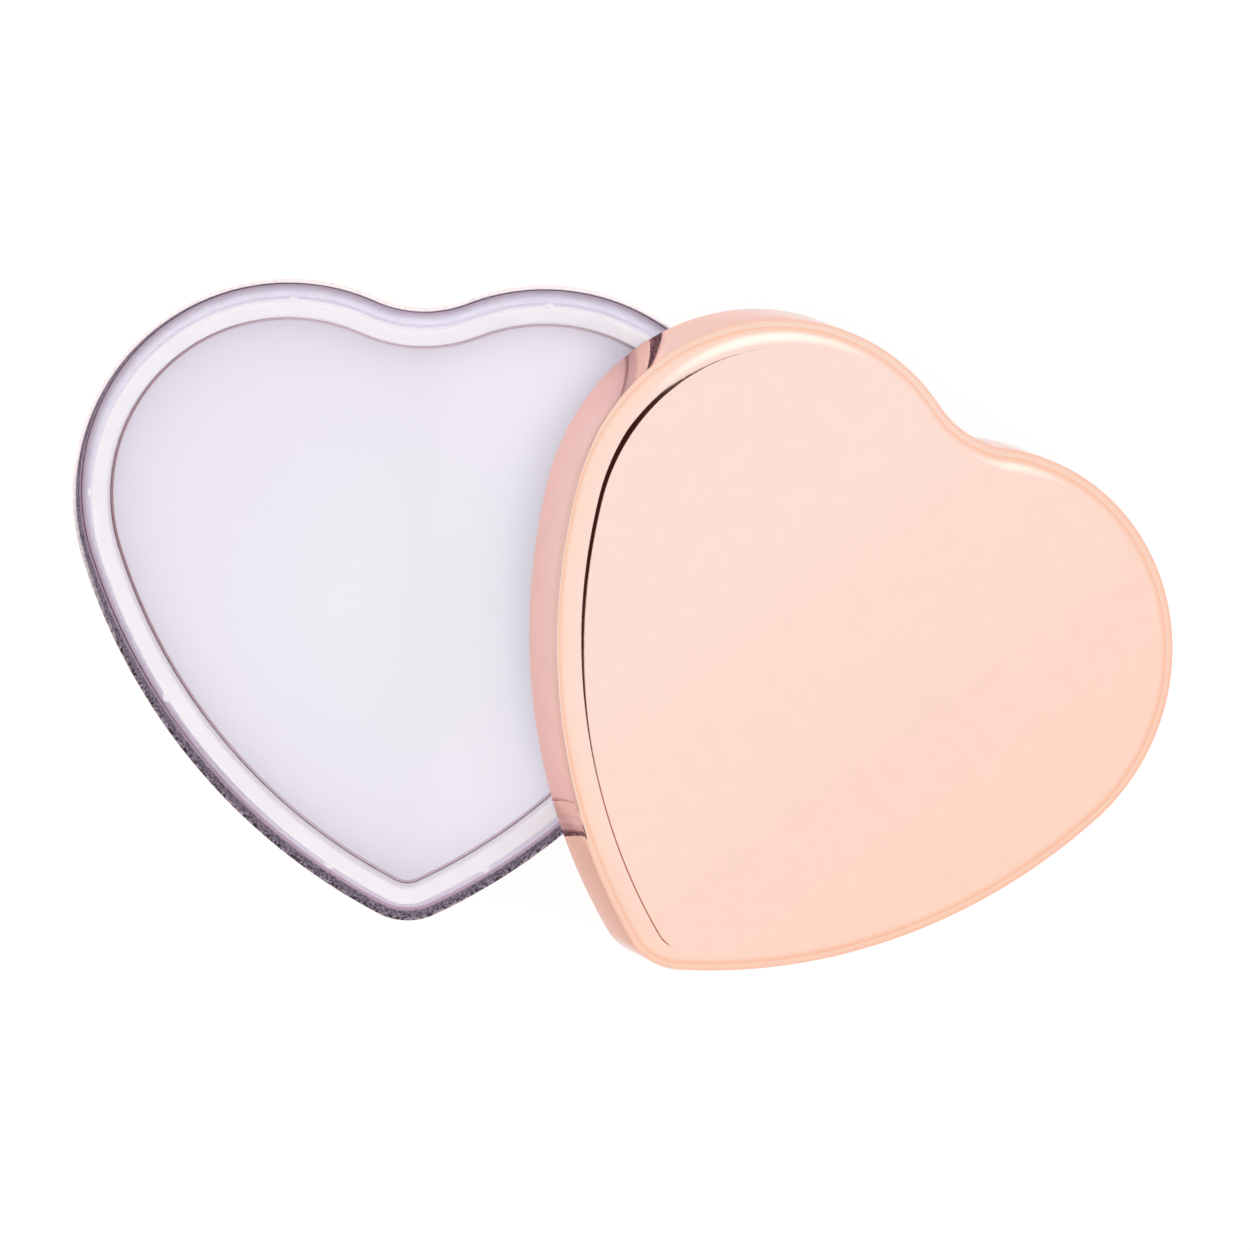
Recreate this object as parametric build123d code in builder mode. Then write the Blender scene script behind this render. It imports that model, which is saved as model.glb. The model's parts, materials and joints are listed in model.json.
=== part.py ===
from build123d import *
import os
from math import atan2, cos, degrees, pi, radians, sin, sqrt, tan

# A heart-shaped wind-up music box in millimetres, +Z up.
# The origin is the middle of the base's outline, on the surface that the box stands on.
# +Y points at the cleft between the two lobes, and the heart is mirrored about the YZ plane.
# The lid is off: it leans on the base, with its far edge on the surface beside it.

os.makedirs("parts", exist_ok=True)

# ---------------------------------------------------------------- driving dimensions

# heart outline, right half: lobe, cleft, side and tip are arcs that meet without a corner
LOBE_X = 18.6  # lobe centre, from the mirror plane
LOBE_RADIUS = 31.4
CLEFT_RADIUS = 16.8
SIDE_RADIUS = 88.0
SIDE_START = 18.5  # degrees below the lobe centre where lobe and side meet
TIP_RADIUS = 9.2

PAST = 1.0  # how far a cut runs past a face that it goes through

# case
SHEET = 0.5  # pressed metal
RIM_ROUND = 0.18
PAD_HEIGHT = 0.8
RIM_HEIGHT = 25.0
CASE_DRAFT = 4.3  # degrees that the case narrows by towards its floor
FLOOR_ROUND = 3.0
PAD_INSET = 5.8
PAD_ROUND = 0.3
PAD_MARGIN = 0.5  # between the pad and the key well

# moulded neck
NECK_HEIGHT = 4.5  # above the rim
NECK_INSET = 2.85
NECK_WIDTH = 2.3
NECK_ROUND = 0.5
LEDGE_DEPTH = 7.0  # below the rim
LEDGE_THICKNESS = 1.0
LEDGE_GAP = 0.08  # between the ledge and the case wall
NECK_FLARE = 0.4  # how much the neck thins from its top to its foot
SHELF_WIDTH = 2.0
SHELF_THICKNESS = 1.0
SHELF_OVERLAP = 0.3  # how far the shelf is moulded into the neck
BUMP_RADIUS = 0.75
BUMP_REACH = 0.55  # how far a snap bump stands out of the neck
BUMP_HEIGHT = 2.0
BUMP_SIDE_ANGLES = (34.0, 57.0)  # degrees below the side arc's centre

# panel
PANEL_DROP = 0.5  # panel face below the rim
PANEL_THICKNESS = 1.2
PANEL_GAP = 0.03
TRIM_WIDTH = 0.26
TRIM_PROUD = 0.1

# lid, and how it leans
LID_DEPTH = 14.0
LID_ROUND = 3.0
LID_TURN = -31.1  # degrees about the lid's own axis
LID_LEAN = 20.2  # degrees away from flat
LID_LEAN_TOWARDS = -9.3  # direction of the low side, degrees from +X
LID_PLACE = (62.6, -11.9, 16.9)  # lid's rim centre, from the base's lobe line
LID_LINER_INNER = 2.15
LID_LINER_RECESS = 0.9
LID_LINER_GAP = 0.02

# key well
WELL_RADIUS = 14.5
WELL_CEILING = 6.6
WELL_FLANGE = 2.2
WELL_ROUND = 0.4
WELL_HOLE_MARGIN = 0.4  # round the arbor
KEY_WING_RADIUS = 10.0
KEY_PLATE_THICKNESS = 1.8
KEY_PLATE_HEIGHT = 4.0
KEY_HOLE_REACH = 6.4
KEY_HOLE_RADIUS = 1.1
KEY_BOSS_RADIUS = 3.0
KEY_BOTTOM = 1.3
KEY_TOP = 6.2

# movement: the barrel stands on the well, and the cylinder lies to its left
BARREL_Y = 17.0
PLATE_GAP = 0.1
PLATE_THICKNESS = 1.1
CYLINDER_AXIS_Z = 14.4
HOUSING_RADIUS = 9.4
HOUSING_HEIGHT = 8.6
HOUSING_ROUND = 0.8
LUG_REACH = 1.9  # screw lugs, from the housing's wall
LUG_RADIUS = 2.2
LUG_THICKNESS = 0.8
LUG_ANGLES = (0, 120, 240)
ARBOR_RADIUS = 1.5
ARBOR_HUB_RADIUS = 2.4  # inside the spring
ARBOR_HUB_GAPS = (0.4, 0.3)  # under and over the hub
ARBOR_CAP_RADIUS = 2.7
ARBOR_CAP_HEIGHT = 0.6
ARBOR_CAP_GAP = 1.2  # room for the clutch spring
FIT = 0.05  # radial clearance of a shaft in its bearing
SPRING_THICKNESS = 0.35
SPRING_PITCH = 1.1
SPRING_INNER = 2.9
SPRING_HALF_TURNS = 9
SPRING_HEIGHT = 7.4
SPRING_LIFT = 0.5  # above the bedplate
CLUTCH_RADIUS = 2.9
CLUTCH_THICKNESS = 0.3
CLUTCH_LIFT = 0.15  # above the great wheel
CLUTCH_FIT = 0.02
WAVE_REACH = 2.2
WAVE_RADIUS = 0.5
WAVE_ANGLES = (30, 150, 270)

# gear train
GREAT_TEETH = 30
PINION_TEETH = 10
GREAT_MODULE = 0.8
GREAT_FACE = 1.4
GREAT_PLATE = 1.1
GREAT_HUB_RADIUS = 3.4
GREAT_HUB_GAP = 0.4  # above the spring housing
GREAT_WINDOWS = 5
WINDOW_REACH = 7.4
WINDOW_RADIUS = 2.4
CYLINDER_WHEEL_TEETH = 30
ARBOR_PINION_TEETH = 10
FINE_MODULE = 0.35
WORM_WHEEL_TEETH = 20
WORM_MODULE = 0.4
WORM_RADIUS = 1.5
WORM_PIVOT_RADIUS = 0.5
GOVERNOR_PIVOT_RADIUS = 0.7
TOOTH_SHARE = 0.36  # tooth thickness on the pitch line, as a share of the pitch
TOOTH_ROOT_SHARE = 1.35  # tooth thickness at its root, as a share of that
TOOTH_TIP_SHARE = 0.6
ADDENDUM_SHARE = 0.8  # tooth height above the pitch line, as a share of the module
ROOT_SHARE = 1.1  # and below it
WORM_TURNS = 3.5
WORM_TURNS_BELOW = 2.25  # of those, below the wheel's axis
WORM_COLLARS = (0.8, 0.75)  # plain core under and over the thread
THREAD_OVERLAP = 0.15  # how far the thread is cut into the core

# stations along the cylinder, as distances to the left of the barrel's axis
PINION_STATION = 12.0
BRACKET_STATION = (13.4, 14.4)
DRUM_STATION = (15.0, 30.6)
WHEEL_STATION = (31.0, 32.0)
FRAME_STATION = (32.8, 33.8)
WORM_WHEEL_STATION = (34.6, 35.8)
FRAME_END_STATION = (36.6, 37.4)

DRUM_RADIUS = 5.2
DRUM_WALL = 0.4
DRUM_END_WALL = 0.8
SHAFT_RADIUS = 1.0
SHAFT_START = 10.9
SHAFT_END_REACH = 0.3  # past its bearing
NOTES = 18
PIN_RADIUS = 0.22
PIN_HEIGHT = 0.5
PINS_PER_NOTE = 3
PIN_TURN = 137.5  # degrees from one note's first pin to the next note's
COMB_CLEARANCE = 0.15
COMB_THICKNESS = 0.8
COMB_SLOT = 0.3
COMB_LENGTH = 16.0
TOOTH_LENGTH = 9.5
TOOTH_GRADING = 0.4  # how much shorter the last tooth is, as a share
COMB_SCREW_INSET = 3.4
SCREW_SHANK = 0.95
SCREW_HEAD = 1.8
SCREW_HEAD_HEIGHT = 0.8
SMALL_SCREW_HEAD = 1.3
SLOT_WIDTH = 0.45
SLOT_DEPTH = 0.4

# bedplate, and how far it reaches past the parts on it
PLATE_RIGHT = 13.8
PLATE_SIDE_REACH = 0.6
PLATE_FRONT_REACH = 1.0
PLATE_BACK_REACH = 2.0
PLATE_ROUND = 3.0
POST_RADIUS = 2.2
POST_INSET = 2.6
BACK_POST_INSET = 12.0
POST_SCREW_DEPTH = 3.0

# cylinder bracket
BRACKET_GAP = 0.4  # between its foot and the spring housing
BRACKET_FOOT_LENGTH = 15.0
BRACKET_WIDTH = 6.4
BRACKET_SCREW_REACH = 5.4
FOOT_SCREW_INSET = 1.6

# governor frame and the air brake in it
FRAME_TOP = 21.8
FRAME_SHEET = 0.8
FRAME_FRONT = 3.0  # in front of the cylinder's axis
FRAME_BACK = 1.6  # behind the worm
WORM_ROOM = 2.3  # radius cut out of the frame's cheeks round the worm
FLY_ROOM = 3.9
FLY_HEIGHT = 2.4
FLY_GAP = 0.4
FLY_HUB_RADIUS = 1.1
FLY_SPAN = 7.0
FLY_THICKNESS = 0.5

# ---------------------------------------------------------------- worked-out dimensions

draft_slope = tan(radians(CASE_DRAFT))
side_x = LOBE_X - (SIDE_RADIUS - LOBE_RADIUS) * cos(radians(SIDE_START))
side_drop = (SIDE_RADIUS - LOBE_RADIUS) * sin(radians(SIDE_START))
cleft_rise = sqrt((LOBE_RADIUS + CLEFT_RADIUS) ** 2 - LOBE_X**2)
tip_reach = sqrt((SIDE_RADIUS - TIP_RADIUS) ** 2 - side_x**2)
heart_length = LOBE_RADIUS + tip_reach - side_drop + TIP_RADIUS
LOBE_Y = heart_length / 2 - LOBE_RADIUS

NECK_TOP = RIM_HEIGHT + NECK_HEIGHT
LEDGE_TOP = RIM_HEIGHT - LEDGE_DEPTH
PANEL_TOP = RIM_HEIGHT - PANEL_DROP
PANEL_BOTTOM = PANEL_TOP - PANEL_THICKNESS
NECK_INNER = NECK_INSET + NECK_WIDTH
NECK_FOOT_INNER = NECK_INNER + NECK_FLARE
PANEL_INSET = NECK_FOOT_INNER + TRIM_WIDTH + 2 * PANEL_GAP

FLOOR_TOP = PAD_HEIGHT + SHEET
WELL_TOP = WELL_CEILING + SHEET
PLATE_BOTTOM = WELL_TOP + PLATE_GAP
PLATE_TOP = PLATE_BOTTOM + PLATE_THICKNESS
HOUSING_TOP = PLATE_TOP + HOUSING_HEIGHT
PINION_PITCH_RADIUS = PINION_TEETH * GREAT_MODULE / 2
GREAT_PITCH_RADIUS = GREAT_TEETH * GREAT_MODULE / 2
GREAT_BOTTOM = CYLINDER_AXIS_Z + PINION_PITCH_RADIUS + ROOT_SHARE * GREAT_MODULE
GREAT_TOP = GREAT_BOTTOM + GREAT_PLATE
ARBOR_TOP = GREAT_TOP + ARBOR_CAP_GAP + ARBOR_CAP_HEIGHT

GOVERNOR_Y = BARREL_Y + (CYLINDER_WHEEL_TEETH + ARBOR_PINION_TEETH) * FINE_MODULE / 2
WORM_Y = GOVERNOR_Y + WORM_WHEEL_TEETH * WORM_MODULE / 2 + WORM_RADIUS
WORM_X = -(WORM_WHEEL_STATION[0] + WORM_WHEEL_STATION[1]) / 2
WORM_PITCH = pi * WORM_MODULE
COMB_TIP_Y = BARREL_Y - DRUM_RADIUS - PIN_HEIGHT - COMB_CLEARANCE
COMB_ROOT_Y = COMB_TIP_Y - TOOTH_LENGTH
COMB_BACK_Y = COMB_TIP_Y - COMB_LENGTH
NOTE_PITCH = (DRUM_STATION[1] - DRUM_STATION[0]) / (NOTES + 1)

PLATE_LEFT = FRAME_END_STATION[1] + PLATE_SIDE_REACH
PLATE_FRONT = COMB_BACK_Y - PLATE_FRONT_REACH
PLATE_BACK = WORM_Y + PLATE_BACK_REACH
FRAME_FRONT_Y = BARREL_Y - FRAME_FRONT
FRAME_BACK_Y = WORM_Y + FRAME_BACK


# ---------------------------------------------------------------- shared shapes


def heart(inset=0.0):
    """The heart outline as a flat face, moved inwards by inset."""
    cleft_angle = degrees(atan2(-cleft_rise, LOBE_X))
    tip_angle = degrees(atan2(-tip_reach, -side_x))
    cleft_centre = (0, LOBE_Y + cleft_rise)
    lobe_centre = (LOBE_X, LOBE_Y)
    side_centre = (side_x, LOBE_Y + side_drop)
    tip_centre = (0, LOBE_Y + side_drop - tip_reach)
    with BuildSketch(Plane.XY) as face:
        with BuildLine():
            CenterArc(cleft_centre, CLEFT_RADIUS + inset, -90, cleft_angle + 90)
            CenterArc(lobe_centre, LOBE_RADIUS - inset, cleft_angle + 180, -cleft_angle - 180 - SIDE_START)
            CenterArc(side_centre, SIDE_RADIUS - inset, -SIDE_START, tip_angle + SIDE_START)
            CenterArc(tip_centre, TIP_RADIUS - inset, tip_angle, -90 - tip_angle)
            mirror(about=Plane.YZ)
        make_face()
    return face.sketch


def heart_slab(inset, bottom, top, plane=Plane.XY, taper=0.0, mode=Mode.ADD):
    """Adds or cuts a heart-shaped slab between two heights above a plane."""
    with BuildSketch(plane.offset(bottom)) as outline:
        add(heart(inset))
    extrude(outline.sketch, amount=top - bottom, taper=taper, mode=mode)


def heart_ring(outer_inset, inner_inset, bottom, top, plane=Plane.XY):
    """Adds a heart-shaped ring between two insets and two heights above a plane."""
    with BuildSketch(plane.offset(bottom)) as outline:
        add(heart(outer_inset))
        add(heart(inner_inset), mode=Mode.SUBTRACT)
    extrude(outline.sketch, amount=top - bottom)


def rim_edges(part, height, plane=Plane.XY):
    """The edges of a part that lie at one height above a plane."""
    local = plane.to_local_coords
    return [edge for edge in part.edges() if abs(local(edge @ 0.5).Z - height) < 0.01]


def disc(centre, radius, bottom, top, mode=Mode.ADD):
    """Adds or cuts an upright round disc or pin between two heights."""
    with BuildSketch(Plane.XY.offset(bottom)) as outline:
        with Locations(centre):
            Circle(radius)
    extrude(outline.sketch, amount=top - bottom, mode=mode)


def station(distance, y=BARREL_Y):
    """A plane across the movement, at a distance to the left of the barrel, facing +X."""
    return Plane(origin=(-distance, y, CYLINDER_AXIS_Z), x_dir=(0, 1, 0), z_dir=(1, 0, 0))


def cross_disc(radius, near, far, y=BARREL_Y, mode=Mode.ADD):
    """Adds or cuts a round disc or shaft that lies along the cylinder's direction."""
    with BuildSketch(station(far, y)) as outline:
        Circle(radius)
    extrude(outline.sketch, amount=far - near, mode=mode)


def tooth(root_radius, tip_radius, pitch_radius, teeth):
    """One straight-sided gear tooth that points along +X from the gear's centre."""
    pitch_width = 2 * pi * pitch_radius / teeth * TOOTH_SHARE
    root_width = pitch_width * TOOTH_ROOT_SHARE
    tip_width = pitch_width * TOOTH_TIP_SHARE
    inside = root_radius - (tip_radius - root_radius) / 2
    with BuildSketch(Plane.XY) as profile:
        with BuildLine():
            Polyline(
                (inside, -root_width / 2),
                (root_radius, -root_width / 2),
                (tip_radius, -tip_width / 2),
                (tip_radius, tip_width / 2),
                (root_radius, root_width / 2),
                (inside, root_width / 2),
                close=True,
            )
        make_face()
    return profile.sketch


def gear(teeth, module, near, far, y=BARREL_Y, first_tooth=0.0):
    """Adds a spur gear that lies across the movement between two stations."""
    pitch_radius = teeth * module / 2
    root_radius = pitch_radius - ROOT_SHARE * module
    one_tooth = tooth(root_radius, pitch_radius + ADDENDUM_SHARE * module, pitch_radius, teeth)
    with BuildSketch(station(far, y)) as outline:
        Circle(root_radius)
        with PolarLocations(0, teeth, start_angle=first_tooth):
            add(one_tooth)
    extrude(outline.sketch, amount=far - near)


def screw(centre, head_bottom, shank_bottom, head_radius=SCREW_HEAD):
    """Adds an upright cheese-head screw with a driver slot."""
    head_top = head_bottom + SCREW_HEAD_HEIGHT
    disc(centre, SCREW_SHANK, shank_bottom, head_bottom)
    disc(centre, head_radius, head_bottom, head_top)
    with BuildSketch(Plane.XY.offset(head_top)) as slot:
        with Locations(centre):
            Rectangle(2 * head_radius + PAST, SLOT_WIDTH)
    extrude(slot.sketch, amount=-SLOT_DEPTH, mode=Mode.SUBTRACT)


def save(piece, label):
    """Labels a finished piece and writes it as one STEP file."""
    piece.part.label = label
    export_step(piece.part, f"parts/{label}.step")


barrel = (0, BARREL_Y)

# ---------------------------------------------------------------- case

# base shell: drafted pressing, open at the top, with a round hole for the key well
with BuildPart() as case_cavity:
    cavity_inset = SHEET + (RIM_HEIGHT - FLOOR_TOP) * draft_slope
    heart_slab(cavity_inset, FLOOR_TOP, RIM_HEIGHT + PAST, taper=-CASE_DRAFT)
    fillet(rim_edges(case_cavity, FLOOR_TOP), FLOOR_ROUND - SHEET)

with BuildPart() as base_shell:
    heart_slab((RIM_HEIGHT - PAD_HEIGHT) * draft_slope, PAD_HEIGHT, RIM_HEIGHT, taper=-CASE_DRAFT)
    fillet(rim_edges(base_shell, PAD_HEIGHT), FLOOR_ROUND)
    add(case_cavity.part, mode=Mode.SUBTRACT)
    fillet(rim_edges(base_shell, RIM_HEIGHT), RIM_ROUND)
    disc(barrel, WELL_RADIUS + FIT, PAD_HEIGHT - PAST, FLOOR_TOP + PAST, mode=Mode.SUBTRACT)
save(base_shell, "base_shell")

# pad: soft sheet glued under the floor, open round the well
with BuildPart() as base_pad:
    heart_slab(PAD_INSET, 0, PAD_HEIGHT)
    disc(barrel, WELL_RADIUS + PAD_MARGIN, -PAST, PAD_HEIGHT + PAST, mode=Mode.SUBTRACT)
    fillet(rim_edges(base_pad, 0), PAD_ROUND)
save(base_pad, "base_pad")

# key well: pressed cup that opens downwards, with a flange inside the floor
with BuildPart() as key_well:
    disc(barrel, WELL_RADIUS, PAD_HEIGHT, WELL_TOP)
    disc(barrel, WELL_RADIUS + WELL_FLANGE, FLOOR_TOP, FLOOR_TOP + SHEET)
    disc(barrel, WELL_RADIUS - SHEET, PAD_HEIGHT - PAST, WELL_CEILING, mode=Mode.SUBTRACT)
    fillet(rim_edges(key_well, WELL_TOP), WELL_ROUND)
    well_hole = ARBOR_RADIUS + WELL_HOLE_MARGIN
    disc(barrel, well_hole, WELL_CEILING - PAST, WELL_TOP + PAST, mode=Mode.SUBTRACT)
save(key_well, "key_well")

# neck liner: ledge against the case wall, raised neck with snap bumps, shelf for the panel
ledge_wall_inset = SHEET + (LEDGE_DEPTH + LEDGE_THICKNESS) * draft_slope + LEDGE_GAP
with BuildPart() as neck_liner:
    heart_ring(ledge_wall_inset, NECK_FOOT_INNER, LEDGE_TOP - LEDGE_THICKNESS, LEDGE_TOP)
    heart_slab(NECK_INSET, LEDGE_TOP - LEDGE_THICKNESS, NECK_TOP)
    heart_slab(NECK_FOOT_INNER, 0, PANEL_BOTTOM, mode=Mode.SUBTRACT)
    neck_slope = degrees(atan2(NECK_FLARE, NECK_TOP - PANEL_BOTTOM))
    heart_slab(NECK_FOOT_INNER, PANEL_BOTTOM, NECK_TOP, taper=-neck_slope, mode=Mode.SUBTRACT)
    fillet(rim_edges(neck_liner, NECK_TOP), NECK_ROUND)
    heart_ring(
        NECK_FOOT_INNER - SHELF_OVERLAP,
        NECK_FOOT_INNER + SHELF_WIDTH,
        PANEL_BOTTOM - SHELF_THICKNESS,
        PANEL_BOTTOM,
    )
    lobe_line = LOBE_RADIUS - NECK_INSET - BUMP_RADIUS + BUMP_REACH
    side_line = SIDE_RADIUS - NECK_INSET - BUMP_RADIUS + BUMP_REACH
    bump_places = [
        (LOBE_X, LOBE_Y + lobe_line),
        (LOBE_X + lobe_line, LOBE_Y),
    ]
    for angle in BUMP_SIDE_ANGLES:
        across = side_x + side_line * cos(radians(angle))
        along = LOBE_Y + side_drop - side_line * sin(radians(angle))
        bump_places.append((across, along))
    for across, along in bump_places:
        for side in (1, -1):
            bump_top = NECK_TOP - NECK_ROUND
            disc((side * across, along), BUMP_RADIUS, bump_top - BUMP_HEIGHT, bump_top)
save(neck_liner, "neck_liner")

# trim: thin ring that fills the joint between neck and panel
with BuildPart() as panel_trim:
    trim_outer = NECK_FOOT_INNER + PANEL_GAP
    heart_ring(trim_outer, trim_outer + TRIM_WIDTH, PANEL_BOTTOM, PANEL_TOP + TRIM_PROUD)
save(panel_trim, "panel_trim")

# cover panel: flat sheet on the liner's shelf
with BuildPart() as cover_panel:
    heart_slab(PANEL_INSET, PANEL_BOTTOM, PANEL_TOP)
save(cover_panel, "cover_panel")

# ---------------------------------------------------------------- lid

lid_location = (
    Location((LID_PLACE[0], LID_PLACE[1] + LOBE_Y, LID_PLACE[2]))
    * Location((0, 0, 0), (0, 0, LID_LEAN_TOWARDS))
    * Location((0, 0, 0), (0, LID_LEAN, 0))
    * Location((0, 0, 0), (0, 0, LID_TURN - LID_LEAN_TOWARDS))
    * Location((0, -LOBE_Y, 0))
)
lid_plane = Plane(lid_location)

# lid shell: pressed cap with a rounded crown
with BuildPart() as lid_cavity:
    heart_slab(SHEET, -PAST, LID_DEPTH - SHEET, plane=lid_plane)
    fillet(rim_edges(lid_cavity, LID_DEPTH - SHEET, lid_plane), LID_ROUND - SHEET)

with BuildPart() as lid_shell:
    heart_slab(0, 0, LID_DEPTH, plane=lid_plane)
    fillet(rim_edges(lid_shell, LID_DEPTH, lid_plane), LID_ROUND)
    add(lid_cavity.part, mode=Mode.SUBTRACT)
    fillet(rim_edges(lid_shell, 0, lid_plane), RIM_ROUND)
save(lid_shell, "lid_shell")

# lid liner: moulded ring that the snap bumps grip
with BuildPart() as lid_liner:
    heart_ring(
        SHEET + LID_LINER_GAP,
        LID_LINER_INNER,
        LID_LINER_RECESS,
        LID_DEPTH - LID_ROUND,
        plane=lid_plane,
    )
save(lid_liner, "lid_liner")

# ---------------------------------------------------------------- key and spring

# winding key: thumb plate with two holes under a round boss, bored for the arbor
key_middle = KEY_BOTTOM + KEY_PLATE_HEIGHT / 2
with BuildPart() as winding_key:
    disc(barrel, KEY_BOSS_RADIUS, key_middle, KEY_TOP)
    key_plane = Plane(origin=(0, BARREL_Y, key_middle), x_dir=(1, 0, 0), z_dir=(0, -1, 0))
    with BuildSketch(key_plane) as thumb_plate:
        SlotOverall(2 * KEY_WING_RADIUS, KEY_PLATE_HEIGHT)
        with Locations((-KEY_HOLE_REACH, 0), (KEY_HOLE_REACH, 0)):
            Circle(KEY_HOLE_RADIUS, mode=Mode.SUBTRACT)
    extrude(thumb_plate.sketch, amount=KEY_PLATE_THICKNESS / 2, both=True)
    disc(barrel, ARBOR_RADIUS, key_middle, KEY_TOP + PAST, mode=Mode.SUBTRACT)
save(winding_key, "winding_key")

# winding arbor: runs from the key up through the spring to a cap over the great wheel
with BuildPart() as winding_arbor:
    disc(barrel, ARBOR_RADIUS, key_middle, ARBOR_TOP)
    under_hub, over_hub = ARBOR_HUB_GAPS
    disc(barrel, ARBOR_HUB_RADIUS, PLATE_TOP + under_hub, HOUSING_TOP - SHEET - over_hub)
    disc(barrel, ARBOR_CAP_RADIUS, ARBOR_TOP - ARBOR_CAP_HEIGHT, ARBOR_TOP)
save(winding_arbor, "winding_arbor")

# spring housing: cap with three screw lugs
lug_reach = HOUSING_RADIUS + LUG_REACH
lug_places = [
    (lug_reach * cos(radians(angle)), BARREL_Y + lug_reach * sin(radians(angle)))
    for angle in LUG_ANGLES
]
with BuildPart() as spring_housing:
    disc(barrel, HOUSING_RADIUS, PLATE_TOP, HOUSING_TOP)
    fillet(rim_edges(spring_housing, HOUSING_TOP), HOUSING_ROUND)
    for place in lug_places:
        disc(place, LUG_RADIUS, PLATE_TOP, PLATE_TOP + LUG_THICKNESS)
    disc(barrel, HOUSING_RADIUS - SHEET, PLATE_TOP - PAST, HOUSING_TOP - SHEET, mode=Mode.SUBTRACT)
    disc(barrel, ARBOR_RADIUS + FIT, PLATE_TOP, HOUSING_TOP + PAST, mode=Mode.SUBTRACT)
    hole_top = PLATE_TOP + LUG_THICKNESS + PAST
    for place in lug_places:
        disc(place, SCREW_SHANK + FIT, PLATE_TOP - PAST, hole_top, mode=Mode.SUBTRACT)
save(spring_housing, "spring_housing")

with BuildPart() as housing_screws:
    for place in lug_places:
        screw(place, PLATE_TOP + LUG_THICKNESS, PLATE_BOTTOM)
save(housing_screws, "housing_screws")

# mainspring: a coiled strip, each half turn an arc a little larger than the one before
with BuildPart() as mainspring:
    with BuildSketch(Plane.XY.offset(PLATE_TOP + SPRING_LIFT)) as strip:
        with Locations(barrel):
            for half_turn in range(SPRING_HALF_TURNS):
                radius = SPRING_INNER + SPRING_PITCH / 4 + half_turn * SPRING_PITCH / 2
                shift = SPRING_PITCH / 4 * (1 if half_turn % 2 == 0 else -1)
                with BuildSketch(mode=Mode.PRIVATE) as half_ring:
                    Circle(radius + SPRING_THICKNESS / 2)
                    Circle(radius - SPRING_THICKNESS / 2, mode=Mode.SUBTRACT)
                    box_y = -radius if half_turn % 2 == 0 else radius
                    with Locations((0, box_y)):
                        Rectangle(4 * radius, 2 * radius, mode=Mode.SUBTRACT)
                with Locations((shift, 0)):
                    add(half_ring.sketch)
    extrude(amount=SPRING_HEIGHT)
save(mainspring, "mainspring")

# great wheel: flat plate with face teeth that point down at the cylinder's pinion
pitch_line = CYLINDER_AXIS_Z + PINION_PITCH_RADIUS
with BuildPart() as face_tooth:
    tooth_plane = Plane(
        origin=(GREAT_PITCH_RADIUS - GREAT_FACE / 2, 0, pitch_line), x_dir=(0, 1, 0), z_dir=(1, 0, 0)
    )
    tooth_width = pi * GREAT_MODULE * TOOTH_SHARE
    tooth_tip = -ADDENDUM_SHARE * GREAT_MODULE
    tooth_root = GREAT_BOTTOM - pitch_line + GREAT_PLATE / 2
    tip_half = tooth_width * TOOTH_TIP_SHARE / 2
    root_half = tooth_width * TOOTH_ROOT_SHARE / 2
    with BuildSketch(tooth_plane):
        with BuildLine():
            Polyline(
                (-root_half, tooth_root),
                (-tip_half, tooth_tip),
                (tip_half, tooth_tip),
                (root_half, tooth_root),
                close=True,
            )
        make_face()
    extrude(amount=GREAT_FACE)

with BuildPart() as great_wheel:
    disc(barrel, GREAT_PITCH_RADIUS + GREAT_FACE / 2, GREAT_BOTTOM, GREAT_TOP)
    disc(barrel, GREAT_HUB_RADIUS, HOUSING_TOP + GREAT_HUB_GAP, GREAT_BOTTOM)
    with Locations((0, BARREL_Y)):
        with PolarLocations(0, GREAT_TEETH, start_angle=180 / GREAT_TEETH):
            add(face_tooth.part)
    with BuildSketch(Plane.XY.offset(GREAT_BOTTOM - PAST)) as windows:
        with Locations(barrel):
            with PolarLocations(WINDOW_REACH, GREAT_WINDOWS):
                Circle(WINDOW_RADIUS)
    extrude(windows.sketch, amount=GREAT_PLATE + 2 * PAST, mode=Mode.SUBTRACT)
    disc(barrel, ARBOR_RADIUS + FIT, HOUSING_TOP, GREAT_TOP + PAST, mode=Mode.SUBTRACT)
save(great_wheel, "great_wheel")

# clutch spring: washer with three raised waves under the arbor's cap
with BuildPart() as clutch_spring:
    washer_bottom = GREAT_TOP + CLUTCH_LIFT
    washer_top = washer_bottom + CLUTCH_THICKNESS
    disc(barrel, CLUTCH_RADIUS, washer_bottom, washer_top)
    for angle in WAVE_ANGLES:
        across = WAVE_REACH * cos(radians(angle))
        along = BARREL_Y + WAVE_REACH * sin(radians(angle))
        disc((across, along), WAVE_RADIUS, washer_top, ARBOR_TOP - ARBOR_CAP_HEIGHT - FIT)
    disc(barrel, ARBOR_RADIUS + CLUTCH_FIT, GREAT_TOP, ARBOR_TOP, mode=Mode.SUBTRACT)
save(clutch_spring, "clutch_spring")

# ---------------------------------------------------------------- bedplate

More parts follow.
